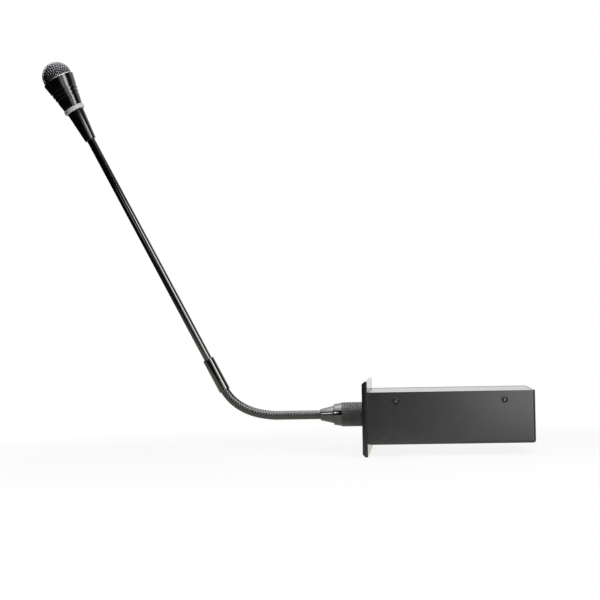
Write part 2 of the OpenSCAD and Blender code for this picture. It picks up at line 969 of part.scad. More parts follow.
module socket_insert() {
    color(plastic_black)
        difference() {
            translate([0, mic_line, 0])
                rod_x(socket_bore_d - 2 * close, insert_face, pocket_x + socket_tail - socket_lip);
            round_mic(contact_count, contact_ring)
                rod_x(contact_d + 2 * close, insert_face - past, pocket_x + socket_tail);
        }
}

module socket_contacts() {
    color(brass)
        round_mic(contact_count, contact_ring)
            difference() {
                rod_x(contact_d, insert_face, pocket_x + socket_tail + contact_tail);
                rod_x(pin_d + 2 * running, insert_face - past, insert_face + pin_reach + past);
            }
}

// Microphone plug

module plug_shell() {
    outer = plug_d / 2;
    bore = plug_bore_d / 2;
    flange = plug_flange_d / 2;
    neck_end = ferrule_x - spigot_l;
    spigot_bore = spigot_d / 2 - spigot_wall;
    edge = 0.4;
    color(steel)
        translate([0, mic_line, 0])
            lathe_x([[plug_face, bore], [plug_face, outer - edge], [plug_face - edge, outer],
                [plug_flange_x, outer], [plug_flange_x, flange], [plug_flange_x - plug_flange_t, flange],
                [plug_flange_x - plug_flange_t, barrel_d / 2], [ferrule_x, barrel_d / 2],
                [ferrule_x, spigot_d / 2], [neck_end, spigot_d / 2], [neck_end, spigot_bore],
                [ferrule_x + spigot_taper, spigot_bore], [ferrule_x + 2 * spigot_taper, bore]]);
}

module plug_insert() {
    color(plastic_black)
        difference() {
            translate([0, mic_line, 0])
                rod_x(plug_bore_d - 2 * close, plug_face - plug_insert_l, plug_face);
            round_mic(contact_count, contact_ring)
                rod_x(pin_d + 2 * close, plug_face - plug_insert_l - past, plug_face + past);
        }
}

module plug_pins() {
    color(brass)
        round_mic(contact_count, contact_ring)
            rod_x(pin_d, plug_face - plug_insert_l - pin_tail, insert_face + pin_reach);
}

module nut_washer() {
    bore = barrel_d / 2 + running;
    rim = nut_bore_d / 2 - running;
    back = washer_x - washer_t;
    color("white")
        translate([0, mic_line, 0])
            lathe_x([[washer_x, bore], [washer_x, rim], [back, rim], [back, bore]]);
}

module coupling_nut() {
    root = nut_d / 2 - knurl_h;
    step = 360 / knurl_count;
    color(nut_grey)
        translate([0, mic_line, 0])
            difference() {
                union() {
                    run_x(nut_waist, nut_front)
                        polygon([for (i = [0:2 * knurl_count - 1])
                            (i % 2 == 0 ? nut_d / 2 : root) * [cos(i * step / 2), sin(i * step / 2)]]);
                    lathe_x([[nut_waist + past, 0], [nut_waist + past, root - close],
                        [nut_waist, root - close], [nut_waist, nut_d / 2 - close],
                        [nut_end, taper_d / 2], [nut_end, 0]]);
                }
                rod_x(nut_bore_d, nut_shoulder, nut_front + past);
                rod_x(nut_lip_d, nut_end - past, nut_shoulder + past);
            }
}

module neck_ferrule() {
    seat = ferrule_x - spigot_l - loose;
    color(gloss_black)
        translate([0, mic_line, 0])
            lathe_x([[ferrule_x, spigot_d / 2 + close], [ferrule_x, ferrule_d / 2],
                [ferrule_end, sleeve_d / 2], [ferrule_end, neck_d / 2 + close],
                [seat, neck_d / 2 + close], [seat, spigot_d / 2 + close]]);
}

// Wound neck

// Turns of the winding between two heights, as points of radius and height
function winding(low, high) =
    let (count = turns(high - low), pitch = (high - low) / count, crest = neck_d / 2)
    [for (i = [0:count - 1], step = [0:2])
        [crest - wind_depth * [1, 0, 0][step], low + pitch * (i + [0, 0.25, 0.75][step])]];

// One link: turns outside, a liner that reaches into the link below, a socket for the liner above
module neck_link(i) {
    low = i == 1 ? -link_root : link_gap / 2;
    high = link_length(i) - link_gap / 2;
    liner_low = i == 1 ? low : -link_gap / 2 - liner_reach;
    foot = i == 1 ? [] : [[liner_bore / 2, liner_low], [liner_d / 2, liner_low], [liner_d / 2, low]];
    start = i == 1 ? [[liner_bore / 2, low]] : [];
    socket = link_socket_d / 2;
    socket_floor = high - link_socket_depth;
    color(gloss_black)
        translate(hinge_point(i - 1))
            rotate([0, link_angle(i) - 90, 0])
                lathe_z(concat(start, foot, winding(low, high),
                    [[neck_d / 2 - wind_depth, high], [socket, high], [socket, socket_floor],
                    [liner_bore / 2, socket_floor]]));
}

module neck_sleeve() {
    low = link_gap / 2;
    liner_low = -link_gap / 2 - liner_reach;
    r = sleeve_d / 2;
    edge = 0.5;
    seat = sleeve_top - tube_grip;
    color(gloss_black)
        on_stem()
            lathe_z([[liner_bore / 2, liner_low], [liner_d / 2, liner_low], [liner_d / 2, low],
                [r - edge, low], [r, low + edge], [r, sleeve_top - edge], [r - edge, sleeve_top],
                [tube_d / 2 + close, sleeve_top], [tube_d / 2 + close, seat], [liner_bore / 2, seat]]);
}

module stem_tube() {
    color(gloss_black)
        on_stem()
            translate([0, 0, sleeve_top - tube_grip])
                difference() {
                    cylinder(d = tube_d, h = tube_grip + tube_l + boot_grip);
                    translate([0, 0, -past])
                        cylinder(d = tube_d - 2 * tube_wall, h = tube_grip + tube_l + boot_grip + 2 * past);
                }
}

module mic_lead() {
    color("dimgray")
        on_stem()
            translate([0, 0, link_gap])
                cylinder(d = lead_d, h = capsule_z - link_gap);
}

// Microphone head

module head_boot() {
    spigot_top = ring_z + ring_h + neck_spigot_l;
    tube_seat = tube_d / 2 + close;
    edge = 0.4;
    color(gloss_black)
        on_stem()
            lathe_z([[tube_seat, boot_z], [boot_low_d / 2 - edge, boot_z], [boot_low_d / 2, boot_z + edge],
                [boot_top_d / 2, ring_z], [neck_spigot_d / 2, ring_z], [neck_spigot_d / 2, spigot_top],
                [boot_bore_d / 2, spigot_top], [boot_bore_d / 2, boot_z + boot_grip],
                [tube_seat, boot_z + boot_grip]]);
}

module light_ring() {
    bore = neck_spigot_d / 2 + close;
    seat = ring_seat_d / 2 + close;
    rim = ring_d / 2;
    ledge = ring_z + ring_board_t + lamp_h + loose;
    edge = 0.5;
    color(lamp_white)
        on_stem()
            lathe_z([[seat, ring_z + close], [rim - edge, ring_z + close], [rim, ring_z + edge],
                [rim, head_z - edge], [rim - edge, head_z], [bore, head_z], [bore, ledge], [seat, ledge]]);
}

module ring_board() {
    bore = neck_spigot_d / 2 + close;
    rim = ring_seat_d / 2 - loose;
    lamp_w = 0.7;
    color(board_green)
        on_stem()
            translate([0, 0, ring_z])
                union() {
                    lathe_z([[bore, 0], [rim, 0], [rim, ring_board_t], [bore, ring_board_t]]);
                    for (i = [0:lamp_count - 1])
                        rotate([0, 0, i * 360 / lamp_count])
                            translate([bore + running, -lamp_w / 2, ring_board_t / 2])
                                cube([lamp_w, lamp_w, ring_board_t / 2 + lamp_h]);
                }
}

module head_body() {
    low = head_z + head_floor;
    seat = neck_spigot_d / 2 + close;
    color(gloss_black)
        on_stem()
            difference() {
                lathe_z([[seat, head_z], [head_r(head_z), head_z], [head_r(rim_z), rim_z],
                    [head_bore(rim_z), rim_z], [head_bore(low), low], [seat, low]]);
                for (i = [0:groove_count - 1]) {
                    middle = rim_z - groove_first - i * groove_step;
                    lathe_z([[head_r(middle) - groove_depth, middle - groove_w / 2],
                        [head_rim_d, middle - groove_w / 2], [head_rim_d, middle + groove_w / 2],
                        [head_r(middle) - groove_depth, middle + groove_w / 2]]);
                }
            }
}

module capsule_mount() {
    top = rim_z - mount_drop;
    low = top - mount_l;
    color(foam_grey)
        on_stem()
            lathe_z([[lead_d / 2 + close, low], [head_bore(low) - running, low],
                [head_bore(top) - running, top], [capsule_d / 2 + close, top],
                [capsule_d / 2 + close, capsule_z], [lead_d / 2 + close, capsule_z]]);
}

module capsule() {
    color(steel)
        on_stem()
            translate([0, 0, capsule_z])
                cylinder(d = capsule_d, h = capsule_l);
}

module foam_liner() {
    r = ball_r - grille_wall - close;
    color(foam_grey)
        on_stem()
            intersection() {
                difference() {
                    translate([0, 0, ball_z])
                        sphere(r);
                    translate([0, 0, ball_z])
                        sphere(r - foam_t);
                }
                translate([0, 0, rim_z + collar_t])
                    cylinder(r = ball_r, h = 2 * ball_r);
            }
}

module grille() {
    skirt = head_bore(rim_z - skirt_l) - running;
    bore = skirt - skirt_wall;
    color(gloss_black)
        on_stem()
            union() {
                intersection() {
                    difference() {
                        translate([0, 0, ball_z])
                            sphere(ball_r);
                        translate([0, 0, ball_z])
                            sphere(ball_r - grille_wall);
                    }
                    translate([0, 0, rim_z])
                        cylinder(r = 2 * ball_r, h = 2 * ball_r);
                }
                lathe_z([[bore, rim_z - skirt_l], [skirt, rim_z - skirt_l], [skirt, rim_z],
                    [rim_r - close, rim_z], [rim_r - close, rim_z + collar_t], [bore, rim_z + collar_t]]);
            }
}

front_panel();
chassis_tray();
top_cover();
cover_screws();
chassis_screws();
main_board();
board_spacers();
board_screws();
board_parts();
board_headers();
line_jacks();
jack_contacts();
key_lead();
socket_lead();
speaker_lead();
speaker_gasket();
speaker_frame();
speaker_cone();
speaker_magnet();
panel_screws();
key_ring();
key_board();
key_posts();
key_screws();
key_lamps();
key_switch();
talk_key();
key_plunger();
mic_socket();
socket_insert();
socket_contacts();
plug_shell();
plug_insert();
plug_pins();
nut_washer();
coupling_nut();
neck_ferrule();
for (i = [1:link_count])
    neck_link(i);
neck_sleeve();
stem_tube();
mic_lead();
head_boot();
light_ring();
ring_board();
head_body();
capsule_mount();
capsule();
foam_liner();
grille();
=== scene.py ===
"""Looks of a flush-mount conference delegate unit with a plug-in gooseneck microphone."""
import json
import math

import bmesh
import bpy
import numpy as np
from mathutils import Matrix, Vector


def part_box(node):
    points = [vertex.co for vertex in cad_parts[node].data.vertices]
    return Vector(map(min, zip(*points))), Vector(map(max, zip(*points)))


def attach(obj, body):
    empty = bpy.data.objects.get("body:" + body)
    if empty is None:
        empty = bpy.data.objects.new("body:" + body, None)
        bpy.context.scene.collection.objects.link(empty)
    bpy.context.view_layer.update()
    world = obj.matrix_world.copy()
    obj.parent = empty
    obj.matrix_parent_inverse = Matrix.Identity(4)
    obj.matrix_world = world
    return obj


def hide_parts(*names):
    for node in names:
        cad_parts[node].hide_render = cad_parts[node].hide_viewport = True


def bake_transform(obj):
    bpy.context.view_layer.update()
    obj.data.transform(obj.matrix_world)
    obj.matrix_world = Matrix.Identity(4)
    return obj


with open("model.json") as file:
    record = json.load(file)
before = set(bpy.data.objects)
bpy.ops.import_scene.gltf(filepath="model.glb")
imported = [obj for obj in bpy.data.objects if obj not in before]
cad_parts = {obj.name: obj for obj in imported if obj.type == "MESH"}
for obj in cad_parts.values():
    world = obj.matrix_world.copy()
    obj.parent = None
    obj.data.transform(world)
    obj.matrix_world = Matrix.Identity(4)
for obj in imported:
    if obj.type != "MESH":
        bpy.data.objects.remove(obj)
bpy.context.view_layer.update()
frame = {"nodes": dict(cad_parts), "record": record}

MM = 0.001
TURN = 2 * math.pi

# Room left round a piece in its seat, and the small rounding of edges that don't show
FIT_GAP = 0.05 * MM
INNER_EDGE = 0.1 * MM


# Measures taken from the frame

def node_points(node):
    """Corner points of a construction node, as an array of rows."""
    mesh = frame["nodes"][node].data
    flat = np.empty(len(mesh.vertices) * 3)
    mesh.vertices.foreach_get("co", flat)
    return flat.reshape(-1, 3)


def hinge_places():
    """Places of the neck's hinges in order from the plug to the stem, with the ferrule's end before
    them."""
    joints = [j for j in frame["record"]["behaviour"]["joints"] if j["name"].startswith("neck_")]
    places = [j["pos_m"] for j in joints]
    start = [node_points("neck_ferrule")[:, 0].min(), places[0][1], 0]
    return np.array([start, *places])


class Axis:
    """A straight line that pieces are turned about, with two directions across it."""

    def __init__(self, base, along, across):
        self.base = np.array(base, float)
        self.along = np.array(along, float)
        self.across = np.array(across, float)
        self.third = np.cross(self.along, self.across)

    def place(self, height, radius, angle):
        """Point = base + height along the line + radius at an angle round it."""
        around = np.cos(angle)[..., None] * self.across + np.sin(angle)[..., None] * self.third
        return self.base + height[..., None] * self.along + radius[..., None] * around

    def span(self, node):
        """Lowest and highest place of a node along the line, and its largest radius."""
        rel = node_points(node) - self.base
        height = rel @ self.along
        radius = np.linalg.norm(rel - height[:, None] * self.along, axis=1)
        return height.min(), height.max(), radius.max()

    def radius_near(self, node, height, reach=0.5 * MM):
        """Largest radius of a node close to a height along the line."""
        rel = node_points(node) - self.base
        along = rel @ self.along
        radius = np.linalg.norm(rel - along[:, None] * self.along, axis=1)
        return radius[np.abs(along - height) < reach].max()


SWING_COUNT = 4
BEND_COUNT = 8
LAST = SWING_COUNT + BEND_COUNT

hinges = hinge_places()
mic_y = hinges[0][1]

# Each bend hinge turns the neck by the same angle, so the last link lacks one share of the stem's tilt
link_tilt = math.atan2(hinges[LAST][2] - hinges[LAST - 1][2], hinges[LAST - 1][0] - hinges[LAST][0])
stem_tilt = link_tilt * BEND_COUNT / (BEND_COUNT - 1)
stem = Axis(hinges[LAST], (-math.cos(stem_tilt), 0, math.sin(stem_tilt)), (0, -1, 0))
plug = Axis((0, mic_y, 0), (-1, 0, 0), (0, -1, 0))


# Surfaces

def grid_faces(rows, cols, wrap_rows=False, wrap_cols=True):
    """Four-sided faces of a grid of points, each from a point and its next row and column."""
    row = np.arange(rows if wrap_rows else rows - 1)
    col = np.arange(cols if wrap_cols else cols - 1)
    i, j = np.meshgrid(row, col, indexing="ij")
    i_next = (i + 1) % rows
    j_next = (j + 1) % cols
    corners = [i * cols + j, i * cols + j_next, i_next * cols + j_next, i_next * cols + j]
    return np.stack(corners, -1).reshape(-1, 4)


def make_piece(name, points, faces, finish, crease=35, **fields):
    """Mesh object of these points and faces, doubles merged, normals outward, smooth below the crease
    angle. Each field is a number at every point, kept as an attribute that the finish can read."""
    merge_reach = 0.0001 * MM
    mesh = bpy.data.meshes.new(name)
    mesh.from_pydata(np.asarray(points).reshape(-1, 3).tolist(), [], [list(f) for f in faces])
    for field, values in fields.items():
        attribute = mesh.attributes.new(field, "FLOAT", "POINT")
        attribute.data.foreach_set("value", values.ravel().astype(np.float32))
    shell = bmesh.new()
    shell.from_mesh(mesh)
    bmesh.ops.remove_doubles(shell, verts=shell.verts, dist=merge_reach)
    bmesh.ops.recalc_face_normals(shell, faces=shell.faces)
    shell.to_mesh(mesh)
    shell.free()
    mesh.shade_smooth()
    mesh.set_sharp_from_angle(angle=math.radians(crease))
    mesh.materials.append(finish)
    piece = bpy.data.objects.new(name, mesh)
    bpy.context.scene.collection.objects.link(piece)
    return piece


def settle(piece, body, slot, *nodes):
    """The piece rides on a body and stands for these construction nodes. The slot is not used."""
    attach(piece, body)
    if nodes:
        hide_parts(*nodes)
    return piece


def rounded(points, steps=5):
    """Closed outline of (height, radius, fillet) corners: each corner becomes an arc tangent to both
    its sides, drawn as the quadratic curve whose control point is the corner. A fillet takes less than
    half of a side."""
    most = 0.45
    corner = np.array(points, float)
    here = corner[:, :2]
    fillet = corner[:, 2:]
    before = np.roll(here, 1, 0) - here
    after = np.roll(here, -1, 0) - here
    length_before = np.linalg.norm(before, axis=1, keepdims=True)
    length_after = np.linalg.norm(after, axis=1, keepdims=True)
    first = here + before / length_before * np.minimum(fillet, most * length_before)
    last = here + after / length_after * np.minimum(fillet, most * length_after)
    t = np.linspace(0, 1, steps)[None, :, None]
    arc = (1 - t) ** 2 * first[:, None] + 2 * t * (1 - t) * here[:, None] + t ** 2 * last[:, None]
    return arc.reshape(-1, 2)


def turned(name, axis, outline, finish, sides=96, crease=35):
    """Ring or tube: a closed outline of height and radius carried once round the axis."""
    angle = np.arange(sides) / sides * TURN
    height, turn = np.meshgrid(outline[:, 0], angle, indexing="ij")
    radius = np.repeat(outline[:, 1:2], sides, 1)
    points = axis.place(height, radius, turn)
    return make_piece(name, points, grid_faces(len(outline), sides, wrap_rows=True), finish, crease)


def pressed_wires(paths, middle, width, height, sides=8):
    """Closed wires along several paths of equal count. Across the path each point gets an ellipse, its
    width along the sheet and its height away from the sheet's middle point."""
    along = np.gradient(paths, axis=1)
    along /= np.linalg.norm(along, axis=-1, keepdims=True)
    out = paths - middle
    out -= (out * along).sum(-1, keepdims=True) * along
    out /= np.linalg.norm(out, axis=-1, keepdims=True)
    side = np.cross(along, out)
    angle = np.arange(sides) / sides * TURN
    ring = height / 2 * np.cos(angle)[:, None] * out[:, :, None]
    ring = ring + width / 2 * np.sin(angle)[:, None] * side[:, :, None]
    points = paths[:, :, None] + ring
    count, rows = paths.shape[:2]
    tube = grid_faces(rows, sides)
    first = np.arange(count)[:, None, None] * rows * sides
    walls = (tube[None] + first).reshape(-1, 4).tolist()
    low = (np.arange(sides)[::-1][None] + first[:, 0]).tolist()
    high = (np.arange(sides)[None] + first[:, 0] + (rows - 1) * sides).tolist()
    return points, walls + low + high


# Finishes

class Flow:
    """One output of a shader node. Arithmetic with numbers or other flows adds Math nodes."""

    def __init__(self, tree, socket):
        self.tree = tree
        self.socket = socket

    def node(self, kind, settings=None, links=None, out=0):
        """New node of a kind: settings first, then the values or flows of its sockets."""
        node = self.tree.nodes.new(kind)
        for name, value in (settings or {}).items():
            setattr(node, name, value)
        for name, value in (links or {}).items():
            if isinstance(value, Flow):
                self.tree.links.new(value.socket, node.inputs[name])
            else:
                node.inputs[name].default_value = value
        return Flow(self.tree, node.outputs[out])

    def maths(self, operation, left, right=0.0):
        """Math node of two values or flows."""
        return self.node("ShaderNodeMath", {"operation": operation}, {0: left, 1: right})

    def __add__(self, other):
        return self.maths("ADD", self, other)

    def __radd__(self, other):
        return self.maths("ADD", other, self)

    def __sub__(self, other):
        return self.maths("SUBTRACT", self, other)

    def __rsub__(self, other):
        return self.maths("SUBTRACT", other, self)

    def __mul__(self, other):
        return self.maths("MULTIPLY", self, other)

    def __rmul__(self, other):
        return self.maths("MULTIPLY", other, self)

    def __truediv__(self, other):
        return self.maths("DIVIDE", self, other)

    def __rtruediv__(self, other):
        return self.maths("DIVIDE", other, self)

    def noise(self, where, scale, detail=2.0, rough=0.5):
        """Value of a noise field, 0 to 1, with so many features to the metre."""
        links = {"Vector": where, "Scale": scale, "Detail": detail, "Roughness": rough}
        return self.node("ShaderNodeTexNoise", None, links)

    def ramp(self, low, high):
        """The flow spread so that low becomes 0 and high becomes 1, held between them."""
        links = {"Value": self, "From Min": low, "From Max": high}
        return self.node("ShaderNodeMapRange", {"clamp": True}, links)

    def tint(self, low, high):
        """Colour between two colours, by this flow."""
        links = {"Factor": self, 6: (*low, 1), 7: (*high, 1)}
        return self.node("ShaderNodeMix", {"data_type": "RGBA"}, links, 2)


class Finish:
    """A material with one surface shader: constants go on its own sockets, what varies is linked."""

    def __init__(self, name, **constants):
        self.material = bpy.data.materials.new(name)
        self.material.use_nodes = True
        self.tree = self.material.node_tree
        self.shader = self.tree.nodes["Principled BSDF"]
        for socket, value in constants.items():
            self.shader.inputs[socket.replace("_", " ")].default_value = value
        coordinates = self.tree.nodes.new("ShaderNodeTexCoord")
        self.where = Flow(self.tree, coordinates.outputs["Object"])

    def feed(self, **flows):
        """Links each flow to the shader's socket of that name."""
        for socket, flow in flows.items():
            self.tree.links.new(flow.socket, self.shader.inputs[socket.replace("_", " ")])
        return self

    def bump(self, height, depth, strength=1.0):
        """Bumps of this height field, so many metres deep."""
        links = {"Height": height, "Distance": depth, "Strength": strength}
        normal = height.node("ShaderNodeBump", None, links)
        return self.feed(Normal=normal)


def plain_finish(name, low, high, rough, spread=0.06, grain=900, depth=0.00003, **constants):
    """Moulded or plated surface: colour and roughness drift between two tones, with a fine grain."""
    made = Finish(name, **constants)
    drift = made.where.noise(made.where, 90, 3)
    fine = made.where.noise(made.where, grain, 2)
    made.feed(Base_Color=drift.ramp(0.3, 0.7).tint(low, high))
    made.feed(Roughness=rough - spread + 2 * spread * fine)
    made.bump(fine, depth)
    return made.material


def powder_coat(name, low, high, rough):
    """Dark powder coat: fine orange-peel bumps, a slight mottling and lighter specks on the crests."""
    made = Finish(name, IOR=1.5, Specular_IOR_Level=0.06,
                  Coat_Weight=1.0, Coat_Roughness=0.18, Coat_IOR=1.5)
    where = made.where
    mottle = where.noise(where, 160, 3)
    peel = where.noise(where, 1500, 2, 0.6)
    speck = peel.ramp(0.62, 0.8)
    shade = mottle.ramp(0.3, 0.7) * 0.12 + speck * 0.88
    made.feed(Base_Color=shade.tint(low, high))
    made.feed(Roughness=rough + 0.12 * peel - 0.06)
    made.bump(peel, 0.00006, 0.6)
    return made.material


def board_finish():
    """Solder mask over copper: a grid of straight tracks shows as slightly lighter, raised lines."""
    made = Finish("solder_mask", IOR=1.5)
    where = made.where
    tracks = where.node("ShaderNodeTexBrick", {"offset": 0.35, "squash": 1.0},
                        {"Vector": where, "Scale": 90.0, "Mortar Size": 0.06, "Mortar Smooth": 0.2}, "Fac")
    drift = where.noise(where, 60)
    shade = tracks * 0.7 + drift * 0.3
    made.feed(Base_Color=shade.tint((0.012, 0.075, 0.03), (0.04, 0.2, 0.09)))
    made.feed(Roughness=0.32 + 0.1 * drift)
    made.bump(tracks, 0.00004)
    return made.material


def foam_finish(name, low, high, cell):
    """Open-cell foam: rounded pores painted darker than the walls between them, as shade in the hollows."""
    made = Finish(name)
    where = made.where
    links = {"Vector": where, "Scale": cell}
    pores = where.node("ShaderNodeTexVoronoi", {"feature": "F1"}, links, "Distance")
    wall = pores.ramp(0.15, 0.6)
    # Painted shade: the pores are darker than the walls.
    made.feed(Base_Color=wall.tint(low, high))
    made.feed(Roughness=0.85 + 0.1 * wall)
    made.bump(wall, 0.0003)
    return made.material


def crest_shaded_metal(name, low, high, rough):
    """Dark plated metal: lighter on the crests and darker in the grooves between them, painted shade."""
    made = Finish(name, Metallic=1.0)
    where = made.where
    drift = where.noise(where, 220, 3)
    fine = where.noise(where, 3000)
    crest = where.node("ShaderNodeAttribute", {"attribute_name": "crest"}, None, "Fac")
    # Painted shade: the crest attribute darkens the grooves, with a little random drift.
    crest_shade = crest * 0.75 + drift.ramp(0.3, 0.7) * 0.25
    made.feed(Base_Color=crest_shade.tint(low, high))
    made.feed(Roughness=rough + 0.1 * fine)
    made.bump(fine, 0.000005)
    return made.material


def oxide_with_painted_glint():
    """Black oxide on a screw, with a painted glint: the driver's recess is painted bright."""
    made = Finish("black_oxide", Metallic=0.8)
    where = made.where
    drift = where.noise(where, 400, 3)
    rubbed = where.node("ShaderNodeAttribute", {"attribute_name": "rubbed"}, None, "Fac")
    # The attribute that is 1 in the recess paints a bright glint there: a painted glint.
    shade = rubbed * 0.9 + drift * 0.1
    made.feed(Base_Color=shade.tint((0.01, 0.009, 0.008), (0.22, 0.21, 0.2)))
    made.feed(Roughness=0.28 + 0.12 * drift)
    return made.material


def lacquer(name, low, high, rough, **constants):
    """Gloss black paint or plate: a dark base with faint drift, its gloss broken by faint handling
    marks."""
    made = Finish(name, **constants)
    where = made.where
    drift = where.noise(where, 120, 3)
    smear = where.noise(where, 300, 2)
    made.feed(Base_Color=drift.ramp(0.3, 0.7).tint(low, high))
    made.feed(Roughness=rough + 0.06 * smear)
    return made.material


def dark_chrome(name, low, high, rough):
    """Polished dark metal: turning marks round the axis show as fine rings of roughness."""
    made = Finish(name, Metallic=1.0)
    where = made.where
    drift = where.noise(where, 200, 3)
    rings = where.node("ShaderNodeTexWave", {"bands_direction": "X"},
                       {"Vector": where, "Scale": 900.0, "Distortion": 0.6, "Detail": 1.0}, "Fac")
    made.feed(Base_Color=drift.ramp(0.3, 0.7).tint(low, high))
    made.feed(Roughness=rough + 0.05 * rings)
    made.bump(rings, 0.000003)
    return made.material


def brushed_steel(name, low, high, rough):
    """Plated steel with faint lengthwise scratches."""
    made = Finish(name, Metallic=1.0)
    where = made.where
    stretched = where.node("ShaderNodeMapping", None, {"Vector": where, "Scale": (0.08, 1.0, 1.0)})
    scratch = where.noise(stretched, 2500, 2)
    made.feed(Base_Color=scratch.tint(low, high))
    made.feed(Roughness=rough + 0.15 * scratch)
    made.bump(scratch, 0.000005)
    return made.material


finishes = {
    "panel": plain_finish("black_anodise", (0.010, 0.011, 0.013), (0.014, 0.015, 0.017), 0.3,
                          grain=2600, depth=0.00001, Specular_IOR_Level=0.15, Coat_Weight=0.8,
                          Coat_Roughness=0.12, Coat_IOR=1.38),
    "chassis": powder_coat("grey_powder_coat", (0.0195, 0.0204, 0.0218), (0.046, 0.048, 0.051), 0.5),
    "black_screw": oxide_with_painted_glint(),
    "steel": brushed_steel("nickel_plate", (0.46, 0.46, 0.47), (0.62, 0.62, 0.63), 0.22),
    "brass": brushed_steel("gold_flash", (0.62, 0.44, 0.15), (0.8, 0.6, 0.26), 0.2),
    "board": board_finish(),
    "black_plastic": plain_finish("black_moulding", (0.018, 0.018, 0.019), (0.032, 0.032, 0.033), 0.42),
    "white_plastic": plain_finish("natural_nylon", (0.7, 0.69, 0.65), (0.8, 0.79, 0.75), 0.45),
    "light_plastic": plain_finish("milky_plastic", (0.6, 0.58, 0.61), (0.64, 0.62, 0.65), 0.35,
                                  depth=0.000002),
    "lead": plain_finish("soft_vinyl", (0.03, 0.03, 0.03), (0.055, 0.055, 0.055), 0.5),
    "foam": foam_finish("open_foam", (0.002, 0.002, 0.002), (0.006, 0.006, 0.006), 1800),
    "rubber": plain_finish("moulded_rubber", (0.018, 0.018, 0.018), (0.03, 0.03, 0.03), 0.65),
    "cone_paper": plain_finish("pressed_paper", (0.035, 0.034, 0.032), (0.07, 0.068, 0.064), 0.8,
                               grain=1600, depth=0.0001),
    "nut": crest_shaded_metal("gunmetal_plate", (0.015, 0.015, 0.015), (0.14, 0.14, 0.14), 0.22),
    "neck": crest_shaded_metal("black_wound_wire", (0.018, 0.018, 0.018), (0.085, 0.085, 0.083), 0.1),
    "gloss_black": lacquer("gloss_black_plate", (0.075, 0.075, 0.072), (0.09, 0.09, 0.086), 0.1,
                           Metallic=1.0),
    "head_black": lacquer("gloss_black_paint", (0.0015, 0.0015, 0.0015), (0.003, 0.003, 0.003), 0.14,
                          IOR=1.55),
    "grille": plain_finish("dark_mesh_wire", (0.13, 0.13, 0.133), (0.17, 0.17, 0.174), 0.26, Metallic=1.0),
}
ferrule_metal = dark_chrome("dark_chrome", (0.085, 0.085, 0.083), (0.1, 0.1, 0.098), 0.08)

for part in frame["record"]["subparts"]:
    slots = frame["nodes"][part["node"]].data.materials
    slots.clear()
    slots.append(finishes[part["material_slot"]])


# Coupling nut and ferrule

def knurled_nut():
    """Nut turned about the plug's axis. The knurl is a field of small pyramids with flat tops: two
    families of helical grooves cross, and the height at a point is the lesser of its distances to the
    nearest groove of each family. The crest attribute is 1 on the tops and 0 in the grooves."""
    knurl_count = 24
    knurl_depth = 0.55 * MM
    plain_end = 0.7 * MM
    plain_drop = 0.12 * MM
    rounding = 0.3 * MM
    end_drop = 0.4 * MM
    waist_drop = 0.6 * MM
    taper_drop = 0.3 * MM
    taper_l = 6.4 * MM
    bore_r = 8.15 * MM
    lip_r = 7.42 * MM
    shoulder = 18 * MM
    rows = 130
    cols = knurl_count * 8
    low, high, radius = plug.span("coupling_nut")
    waist = high - taper_l
    taper_r = plug.radius_near("coupling_nut", high)
    knurl_h = np.linspace(low + plain_end / 2, waist - INNER_EDGE, rows)
    mask = np.clip((knurl_h - low - plain_end) / rounding, 0, 1)
    mask = mask * np.clip((waist - knurl_h) / rounding, 0, 1)
    rest = rounded([
        (waist, radius - waist_drop, 0.05 * MM), (waist, bore_r, INNER_EDGE), (low, bore_r, 0.2 * MM),
        (low, radius - end_drop, 0.3 * MM)])
    height = np.concatenate([knurl_h, rest[:, 0]])
    base = np.concatenate([np.full(rows, radius), rest[:, 1]])
    share = np.concatenate([mask, np.zeros(len(rest))])
    h, angle = np.meshgrid(height, np.arange(cols) / cols * TURN, indexing="ij")
    lead = TURN * radius
    first = knurl_count * (angle / TURN + h / lead)
    second = knurl_count * (angle / TURN - h / lead)
    nearest = np.minimum(np.abs(2 * (first - np.round(first))), np.abs(2 * (second - np.round(second))))
    rise = np.minimum(2 * nearest, 1)
    r = base[:, None] - share[:, None] * knurl_depth * (1 - rise)
    r[:rows] -= plain_drop * (1 - share[:rows, None])
    # The finish paints the grooves darker than the tops: painted shade.
    crest = 1 - share[:, None] * (1 - rise)
    faces = grid_faces(len(height), cols, wrap_rows=True)
    knurl = make_piece("knurled_nut", plug.place(h, r, angle), faces, finishes["nut"], 60, crest=crest)
    settle(knurl, "coupling_nut", "nut", "coupling_nut")
    taper = turned("nut_taper", plug, rounded([
        (waist, radius - taper_drop, 0.15 * MM), (high, taper_r, 0.35 * MM), (high, lip_r, 0.2 * MM),
        (shoulder, lip_r, INNER_EDGE), (shoulder, bore_r, INNER_EDGE), (waist, bore_r, INNER_EDGE)]),
        ferrule_metal)
    settle(taper, "coupling_nut", "nut", "coupling_nut")


knurled_nut()

NECK_R = 3.7 * MM


def cone_ferrule():
    """Cone turned about the plug's axis. Its bore holds the wound neck, and widens at the plug's
    end."""
    seat_l = 3.6 * MM
    seat_r = 4.9 * MM
    low, high, low_r = plug.span("neck_ferrule")
    tip_r = plug.radius_near("neck_ferrule", high)
    ferrule = turned("cone_ferrule", plug, rounded([
        (low, low_r, 0.5 * MM), (high, tip_r, 0.6 * MM), (high, NECK_R + FIT_GAP, 0.15 * MM),
        (low + seat_l, NECK_R + FIT_GAP, INNER_EDGE), (low + seat_l, seat_r, INNER_EDGE),
        (low, seat_r, INNER_EDGE)]), ferrule_metal)
    settle(ferrule, "mic_plug", "gloss_black", "neck_ferrule")


cone_ferrule()


# Wound neck

WIND_PITCH = 2.26 * MM
WIND_DEPTH = 0.4 * MM

# The wire's half width as a share of the pitch, and its height as a share of a round wire's
WIRE_SHARE = 0.4
WIRE_FLATNESS = 0.2

# How far the filler strip stands up at its middle, and its half width as a share of the pitch
FILLER_RISE = 0.16 * MM
FILLER_SHARE = 0.12


